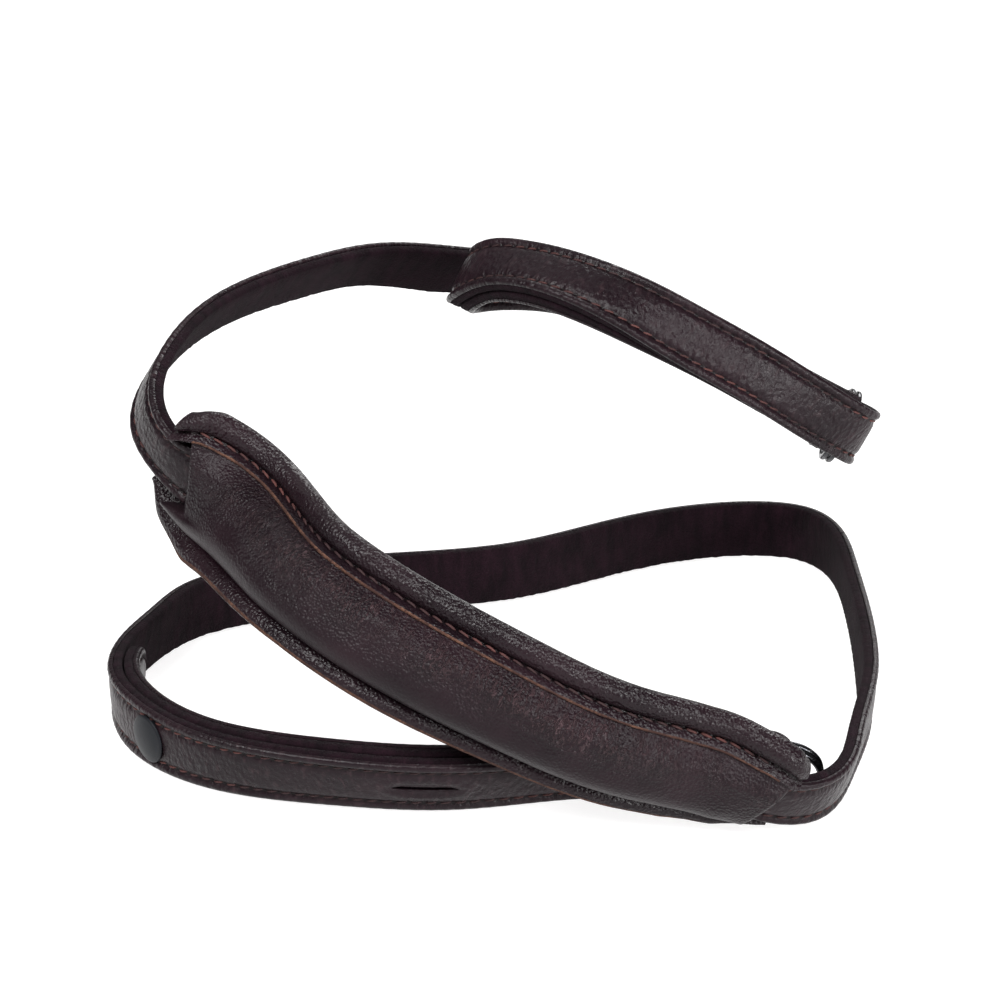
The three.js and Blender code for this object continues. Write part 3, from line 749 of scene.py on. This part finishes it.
def buildStrapFace():
    stations = strapStations(strap["step"])
    right = np.array(faceProfile)
    left = right[-2::-1] * [-1, 1, 1]
    top = np.concatenate([right, left])
    bottom = np.array([(-5.9, 0.42, 0), (0, 0.42, 0), (5.9, 0.42, 0)])
    section = np.concatenate([bottom, top])
    seamed = ease((stations.fromFold - strap["stitchFromFold"]) / 1.5)
    holes = needle(stations.run) * seamed
    w = np.repeat(section[None, :, 0], len(stations.run), 0)
    o = np.repeat(section[None, :, 1], len(stations.run), 0)
    sunk = np.clip(-section[:, 2], 0, 1)[None] * holes[:, None]
    swollen = np.clip(section[:, 2], 0, 1)[None] * (1 - holes)[:, None] * seamed[:, None]
    o += -strap["pinch"] * sunk + 0.05 * swollen
    ripple = np.array([noise.noise(Vector((run * 0.21, 3.1, 0))) for run in stations.run])
    o[:, len(bottom) :] += (0.05 * ripple)[:, None] * np.clip(1 - abs(top[None, :, 0]) / 3.6, 0, 1)
    slitRun = stations.mainStart + route.length - slit["fromRing"]
    slitAlong = (stations.run[:, None] - slitRun) / (slit["length"] / 2 + slit["rim"])
    slitAcross = w / (slit["width"] / 2 + slit["rim"])
    reach = np.sqrt(slitAlong**2 + slitAcross**2)
    hollow = 0.3 * (1 - ease(reach * 2.2 - 1.3))
    lip = 0.12 * np.exp(-(((reach - 1.12) / 0.14) ** 2))
    o -= np.where(o > 1, hollow - lip, 0)
    w *= narrowEnd(stations.fromEnd)[:, None]
    piece = loft("strapFace", stations.point(w, o), [strapLeather], maps=mapOf(stations, w))
    return piece, stations


def buildLining():
    stations = strapStations(strap["liningStep"])
    section = np.array([
        (-5.55, -half), (-2.5, -half - 0.02), (0, -half), (2.5, -half - 0.02), (5.55, -half),
        (5.86, -half + 0.25), (5.92, -0.5), (5.86, 0.28), (5.5, 0.44),
        (-5.5, 0.44), (-5.86, 0.28), (-5.92, -0.5), (-5.86, -half + 0.25),
    ])
    w = np.repeat(section[None, :, 0], len(stations.run), 0)
    fray = np.array([
        [
            noise.noise(Vector((run * 0.9, side * 7.0, k * 0.6)))
            for k, side in enumerate(np.sign(section[:, 0]))
        ]
        for run in stations.run
    ])
    w += 0.16 * fray * (abs(section[:, 0]) > 5.4)
    w *= narrowEnd(stations.fromEnd)[:, None]
    o = section[None, :, 1] + 0.08 * fray * (section[:, 1] < -1)
    return loft("strapLining", stations.point(w, o), [suede], maps=mapOf(stations, w), sharp=75)


def cutSlit(pieces):
    middle = route.length - slit["fromRing"]
    runs = np.linspace(middle - slit["length"] / 2, middle + slit["length"] / 2, 33)
    stations = route.at(runs)
    share = np.linspace(-1, 1, 33)
    halfWidth = slit["width"] / 2 * np.sqrt(np.clip(1 - abs(share) ** 5, 0.002, 1)) * 0.7
    across = np.array([-1, 1, 1, -1])
    depth = np.array([-1, -1, 1, 1]) * (half + strap["clearance"] / 2)
    grid = stations.point(halfWidth[:, None] * across, depth[None])
    cutter = loft("slitCutter", grid, [suede])
    for piece in pieces:
        cut = piece.modifiers.new("slit", "BOOLEAN")
        cut.operation = "DIFFERENCE"
        cut.solver = "EXACT"
        cut.object = cutter
        bpy.context.view_layer.objects.active = piece
        bpy.ops.object.modifier_apply(modifier="slit")
    bpy.data.objects.remove(cutter)


def buildStrapStitches(stations):
    pitch = strap["stitchPitch"]
    first = math.ceil(strap["stitchFromFold"] / pitch)
    runs = (np.arange(1, int(stations.run[-1] / pitch)) + 0.5) * pitch
    fromFold = np.interp(runs, stations.run, stations.fromFold)
    mainRun = runs - stations.mainStart
    hidden = (mainRun > pad["start"] + 10) & (mainRun < pad["start"] + pad["length"] - 12)
    fromEnd = np.minimum(runs, stations.run[-1] - runs)
    runs = runs[(fromFold > first * pitch) & ~hidden & (fromEnd > 2.5)]
    centre, wide, out = (
        np.stack([np.interp(runs, stations.run, values[:, k]) for k in range(3)], -1)
        for values in (stations.centre, stations.wide, stations.out)
    )
    wide, out = unit(wide), unit(out)
    along = np.cross(wide, out)
    seam = strap["width"] / 2 - strap["stitchIn"]
    centres = np.concatenate([centre + wide * side * seam + out * 1.04 for side in (-1, 1)])
    both = [np.concatenate([v, v]) for v in (along, out)]
    radius = strap["threadRadius"]
    return threads("strapStitches", centres, *both, thread, pitch * 0.74, radius, 0.16)


strapFace, faceStations = buildStrapFace()
lining = buildLining()
cutSlit([strapFace, lining])
strapStitches = buildStrapStitches(faceStations)
carry(strapFace, "leather", "strap_face")
carry(lining, "suede", "strap_lining")
carry(strapStitches, "leather")
print("strap made", len(strapFace.data.polygons), len(lining.data.polygons))


# along the pad: share, upper half width, lower half width, puff
padRows = [
    (0.000, 0.90, 0.65, 0.2),
    (0.015, 1.15, 0.90, 0.4),
    (0.040, 1.28, 1.10, 0.6),
    (0.090, 1.28, 1.22, 0.9),
    (0.200, 1.12, 1.12, 1.0),
    (0.320, 1.00, 1.00, 1.0),
    (0.700, 1.00, 1.00, 1.0),
    (0.860, 1.05, 0.98, 0.8),
    (0.930, 1.25, 0.78, 0.6),
    (0.960, 1.32, 0.45, 0.4),
    (0.985, 1.15, 0.30, 0.3),
    (1.000, 0.75, 0.20, 0.3),
]


def padStations(start, end):
    first, last = pad["start"] + start * pad["length"], pad["start"] + end * pad["length"]
    stations = route.at(np.linspace(first, last, int((last - first) / pad["step"]) + 1))
    share = (stations.run - pad["start"]) / pad["length"]
    table = np.array(padRows)
    fine = np.linspace(0, 1, 801)
    window = np.hanning(17) / np.hanning(17).sum()
    columns = []
    for k in (1, 2, 3):
        rough = np.interp(fine, table[:, 0], table[:, k])
        eased = np.convolve(np.pad(rough, 8, mode="edge"), window, mode="valid")
        columns.append(np.interp(share, fine, eased)[:, None])
    stations.share = share
    stations.upper, stations.lower, stations.puff = columns
    shares = share[:, None]
    lowerBulge = pad["lowerBulge"] * np.exp(-(((shares - 0.08) / 0.045) ** 2))
    upperBulge = pad["upperBulge"] * np.exp(-(((shares - 0.03) / 0.035) ** 2))
    stations.lower = stations.lower * (0.5 + 0.5 * ease(shares / 0.035)) + lowerBulge
    stations.upper = stations.upper + upperBulge
    sleeve = strap["width"] / 2 + pad["slack"]
    stations.top = sleeve + (pad["margin"] - pad["slack"]) * stations.upper
    stations.bottom = -sleeve - (pad["margin"] - pad["slack"]) * stations.lower
    stations.high = pad["upperRoll"] / 2 * np.minimum(stations.upper, 1)
    stations.low = pad["lowerRoll"] / 2 * stations.lower
    return stations


def wobble(stations, columns, scale, seed):
    return np.array([
        [noise.noise(Vector((run * scale, k * scale * 0.7, seed))) for k in range(columns)]
        for run in stations.run
    ])


# Points at a run along the route, a distance across it and a height above it.
def placed(run, w, o):
    frames = route.at(run.ravel())
    points = frames.centre + w.reshape(-1, 1) * frames.wide + o.reshape(-1, 1) * frames.out
    return points.reshape(*w.shape, 3)


# Both rolled rims and the back between them. The seam's flange lies beside the upper roll.
def buildPadBack():
    s = padStations(0, 1)
    sleeve = strap["width"] / 2 + pad["slack"]
    floor = -half - pad["slack"]
    upperRaw = ((s.share > 0.03) & (s.share < 0.972)).astype(int)
    lowerRaw = ((s.share > 0.02) & (s.share < 0.93)).astype(int)
    w, o, zones = [], [], []

    def add(wide, out, zone=0):
        w.append(np.broadcast_to(wide, s.top.shape))
        o.append(np.broadcast_to(out, s.top.shape))
        zones.append(np.broadcast_to(zone, s.share.shape)[1:])

    # back, from the lower roll to the upper
    for share in (0.0, 0.25, 0.5, 0.75, 1.0):
        sag = math.sin(math.pi * share)
        start, end = s.bottom + 1.7 * s.low, s.top - 1.7 * s.high
        add(start + (end - start) * share, floor - pad["backing"] * (0.62 + 0.38 * sag))
    # upper roll
    for angle in np.radians(np.arange(-90, 131, 11)):
        add(s.top - s.high + s.high * math.cos(angle), s.high * math.sin(angle))
    # furrow with the seam, flange and its raw edge, all from the roll's inner side
    inner = s.top - 2 * s.high
    lift = s.high / 2.4
    dip = 0.4 * needle(s.run)[:, None]
    add(inner + 0.6, 1.45 * lift)
    add(inner + 0.4, 1.32 * lift - dip * 0.5)
    add(inner + 0.12, 1.3 * lift - dip)
    add(inner - 0.15, 1.5 * lift - dip * 0.7)
    add(inner - 0.4, 1.95 * lift - dip * 0.3)
    add(inner - 0.75, 2.5 * lift)
    add(inner - 1.02, 2.84 * lift, upperRaw)
    add(inner - 1.25, 2.95 * lift, upperRaw)
    add(inner - 1.5, 2.85 * lift, upperRaw)
    add(inner - 1.72, 2.45 * lift)
    add(inner - 1.6, 1.9 * lift)
    add(inner - 0.9, 1.4 * lift)
    add(inner - 0.4, 0.4 * lift)
    # inside of the channel that the strap runs in
    add(np.full_like(s.top, sleeve), np.full_like(s.top, floor))
    add(np.full_like(s.top, -sleeve), np.full_like(s.top, floor))
    # lower roll with its raw edge outside
    add(s.bottom + 2.5 * s.low, -0.3 * s.low)
    add(s.bottom + 2.3 * s.low, 0.3 * s.low)
    add(s.bottom + 1.95 * s.low, 0.62 * s.low)
    for degrees in range(66, 271, 12):
        angle = math.radians(degrees)
        reach = s.low * (1.06 if 105 < degrees < 140 else 1)
        raw = lowerRaw if 108 < degrees < 148 else 0
        add(s.bottom + s.low + reach * math.cos(angle), reach * math.sin(angle), raw)
    w, o = np.concatenate(w, 1), np.concatenate(o, 1)
    o = o + 0.06 * wobble(s, w.shape[1], 0.5, 4.0)
    skew = (pad["skew"] * w - pad["lobe"]) * (1 - ease(s.share[:, None] / 0.1))
    maps = np.stack([s.run[:, None] + 0 * w, w - inner + pad["seamShift"]], -1)
    grid = placed(s.run[:, None] + skew, w, o)
    finishes = [rollLeather, rawEdge]
    return loft("padBack", grid, finishes, zones=np.stack(zones, 1), maps=maps), s


# The stuffed front panel, with turned ends and a lean at its right mouth.
def buildPadPanel():
    s = padStations(pad["coverStart"], pad["coverEnd"])
    sleeve = strap["width"] / 2 + pad["slack"]
    top = s.top - 2 * s.high - 1.1
    bottom = s.bottom + pad["lowerRoll"] * s.lower + 0.55
    ceiling = half + pad["slack"]
    skin = ceiling + pad["panel"]
    mouth = ease((s.share[:, None] - pad["coverStart"]) / 0.1)
    rise = pad["puff"] * s.puff + (skin - ceiling) * (mouth - 1) * 0.7
    w, o = [], []
    shares = np.linspace(0, 1, 41)
    for share in shares[::-1]:
        fromTop, fromBottom = (1 - share) * (top - bottom), share * (top - bottom)
        shoulder = ease(np.clip(fromTop / 4.6, 0, 1) ** 0.8 * 0.94 + 0.03)
        flank = np.sqrt(np.clip(1 - (1 - np.clip(fromBottom / 5.5, 0, 1)) ** 2.2, 0, 1))
        w.append(bottom + (top - bottom) * share)
        low = 1.0 + (2.15 - 1.0) * share
        o.append(low + (skin + rise - low) * np.minimum(shoulder, 1) * flank)
    under = [(-0.98, -0.12), (-0.6, 0.0), (0.0, 0.0), (0.6, 0.0), (0.86, -0.12)]
    underW = [bottom + 0.15] + [np.full_like(top, sleeve * x) for x, _ in under]
    underO = [np.full_like(top, 0.7)]
    underO += [np.full_like(top, ceiling + pad["panel"] * y) for _, y in under]
    w = np.concatenate([np.broadcast_to(x, top.shape) for x in w + underW], 1)
    o = np.concatenate([np.broadcast_to(x, top.shape) for x in o + underO], 1)
    count = len(shares)
    o[:, :count] += pad["undulation"] * wobble(s, count, 0.09, 9.0)
    leanRight = pad["mouthLean"] * ease((s.share[:, None] - pad["coverEnd"] + 0.12) / 0.12)
    fromStart = s.share[:, None] - pad["coverStart"]
    leanLeft = pad["leftLean"] * (1 - ease(fromStart / 0.14))
    tucked = ease((-w - 5.4) / 2.2) * (1 - ease(fromStart / 0.12))
    run = s.run[:, None] + w * (leanRight - leanLeft) - pad["tuck"] * tucked
    fromMouth = np.minimum(s.run - s.run[0], s.run[-1] - s.run)[:, None]
    turned = np.sqrt(np.clip(1 - (1 - np.clip(fromMouth / 0.9, 0, 1)) ** 2, 0.05, 1))
    middle = ceiling + pad["panel"] * 0.35
    o = middle + (o - middle) * (0.35 + 0.65 * turned)
    maps = np.stack([run, w], -1)
    return loft("padPanel", placed(run, w, o), [padLeather], maps=maps, sharp=65)


def buildPadStitches(s):
    pitch = pad["seamPitch"]
    first, last = math.ceil((s.run[0] + 4) / pitch), int((s.run[-1] - 4) / pitch)
    runs = (np.arange(first, last) + 0.5) * pitch
    f = route.at(runs)
    top, high = (np.interp(runs, s.run, values[:, 0])[:, None] for values in (s.top, s.high))
    centres = f.centre + f.wide * (top - 2 * high + 0.1) + f.out * 1.55 * high / 2.4
    along = unit(np.gradient(centres, axis=0))
    out = unit(f.out + f.wide * 0.9)
    out = unit(out - (out * along).sum(-1, keepdims=True) * along)
    return threads("padStitches", centres, along, out, thread, pitch * 0.8, 0.24, -0.14)


padBack, padFrames = buildPadBack()
padPanel = buildPadPanel()
padStitches = buildPadStitches(padFrames)
carry(padBack, "leather", "pad_back")
carry(padPanel, "leather", "pad_front")
carry(padStitches, "leather")
print("pad made")


def lathe(name, centre, axis, side, profile, finish, sides=64):
    angle = np.arange(sides) * 2 * math.pi / sides
    third = np.cross(axis, side)
    rays = np.cos(angle)[:, None] * side + np.sin(angle)[:, None] * third
    rows = [centre + axis * height + rays * radius for radius, height in profile]
    return loft(name, np.array(rows), [finish], sharp=40)


# turned outlines: radius, height above the leather
capProfile = [
    (4.15, -1.0), (4.2, -0.1), (4.45, 0.0), (4.6, 0.14), (4.6, 0.3), (4.48, 0.44), (4.2, 0.56),
    (3.95, 0.62), (3.8, 0.66), (3.4, 0.78), (2.8, 0.92), (2.0, 1.06), (1.0, 1.16), (0.05, 1.2),
]
baseProfile = [
    (3.9, -1.0), (4.0, -0.1), (4.5, 0.0), (4.6, 0.15), (4.6, 0.45), (4.4, 0.66), (4.0, 0.7),
    (3.5, 0.62), (3.2, 0.4), (2.8, 0.36), (2.3, 0.42), (2.1, 0.8), (1.9, 1.1), (1.5, 1.2),
    (0.05, 1.2),
]

snap = {"seat": 0.8, "sink": 0.85, "oneFromRing": 140, "twoFromRing": 118}
for end, distance in (("one", snap["oneFromRing"]), ("two", route.length - snap["twoFromRing"])):
    here = route.at(distance)
    out, wide, centre = here.out[0], here.wide[0], here.centre[0]
    capAt = centre + out * (half + snap["seat"] - snap["sink"])
    baseAt = centre - out * (tabPitch + half + snap["seat"] - snap["sink"])
    cap = lathe("snapCap_" + end, capAt, out, wide, capProfile, snapMetal)
    base = lathe("snapBase_" + end, baseAt, -out, wide, baseProfile, snapMetal)
    carry(cap, "snap_metal", "snap_cap_" + end)
    carry(base, "snap_metal", "snap_base_" + end)


def splitRing(name, centre, outward, wide):
    perTurn, sides = 90, 14
    axis = np.cross(wide, outward)
    pitch = ring["wire"] + strap["clearance"] / 3
    turn = (np.arange(2 * perTurn) + 0.5) / perTurn
    angle = 2 * math.pi * turn[:, None]
    radial = outward * np.cos(angle) + wide * np.sin(angle)
    shift = pitch * (ease((turn - 0.93) / 0.14) - 0.5)
    middle = centre + radial * ringRadius + axis * shift[:, None]
    around = 2 * math.pi * np.arange(sides) / sides
    wire = np.sign(np.cos(around)) * abs(np.cos(around)) ** 0.8, np.sin(around)
    x, y = (ring["wire"] / 2 * value for value in wire)
    grid = middle[:, None] + x[None, :, None] * radial[:, None] + y[None, :, None] * axis
    return loft(name, grid, [ringMetal], sharp=60)


ringOne = splitRing("splitRing_one", np.zeros(3), firstOutward, firstEnd.wide[0])
secondCentre = ringCentre(lastEnd, lastOutward)
ringTwo = splitRing("splitRing_two", secondCentre, lastOutward, lastEnd.wide[0])
carry(ringOne, "ring_metal", "split_ring_one")
carry(ringTwo, "ring_metal", "split_ring_two")
print("snaps and rings made")


# The floor and the sky, in metres and Blender's own strengths.
stage = {
    "floorSize": 6.0,
    "drop": 0.00005,
    "paper": (0.3, 0.3, 0.3, 1),
    "glow": (1, 0.99, 0.99, 1),
    "glowStrength": 0.88,
    "sky": 0.08,
}
floorHeight = solidBox[0].z - stage["drop"]
size = stage["floorSize"]
corners = [(x * size, y * size, floorHeight) for x, y in ((-1, -1), (1, -1), (1, 1), (-1, 1))]
floorMesh = bpy.data.meshes.new("floor")
floorMesh.from_pydata(corners, [], [(0, 1, 2, 3)])
floorLook = {
    "Base Color": stage["paper"],
    "Roughness": 0.9,
    "Emission Color": stage["glow"],
    "Emission Strength": stage["glowStrength"],
}
floorFinish = Finish("floorPaper", floorLook)
floorMesh.materials.append(floorFinish.material)
floor = bpy.data.objects.new("floor", floorMesh)
bpy.context.scene.collection.objects.link(floor)

world = bpy.data.worlds.new("studio")
bpy.context.scene.world = world
world.use_nodes = True
sky = world.node_tree.nodes["Background"].inputs
sky["Color"].default_value = (1, 1, 1, 1)
sky["Strength"].default_value = stage["sky"]
bpy.context.scene.view_settings.view_transform = "Standard"

# what the camera and every light point at
target = Vector((-0.06785, -0.0184, -0.00909))


def addLight(name, kind, place, power, **settings):
    light = bpy.data.lights.new(name, kind)
    light.energy = power
    for key, value in settings.items():
        setattr(light, key, value)
    lamp = bpy.data.objects.new(name, light)
    lamp.location = target + Vector(place)
    lamp.rotation_euler = (-Vector(place)).to_track_quat("-Z", "Y").to_euler()
    bpy.context.scene.collection.objects.link(lamp)


def addPanel(name, place, power, width, height):
    addLight(name, "AREA", place, power, shape="RECTANGLE", size=width, size_y=height)


addLight("overhead", "SUN", (-0.1, 0.45, 0.8), 0.6, angle=math.radians(70))
addPanel("leftKey", (-0.42, -0.46, 0.62), 10.0, 0.4, 0.4)
addPanel("rightKey", (0.22, -0.62, 0.56), 5.5, 0.3, 0.3)
addPanel("rightLow", (0.64, -0.6, 0.08), 6.5, 0.34, 0.22)
addPanel("backFill", (0.3, 0.7, 0.5), 4.0, 0.4, 0.4)

view = {"elevation": 20.182, "distance": 0.643676, "lens": 118.8}
camera = bpy.data.cameras.new("camera")
camera.lens, camera.sensor_width = view["lens"], 36
camera.clip_start, camera.clip_end = 0.01, 50
cameraObject = bpy.data.objects.new("camera", camera)
rise = math.radians(view["elevation"])
cameraObject.location = target + Vector((0, -math.cos(rise), math.sin(rise))) * view["distance"]
cameraObject.rotation_euler = (math.pi / 2 - rise, 0, 0)
bpy.context.scene.collection.objects.link(cameraObject)
bpy.context.scene.camera = cameraObject
print("stage set")
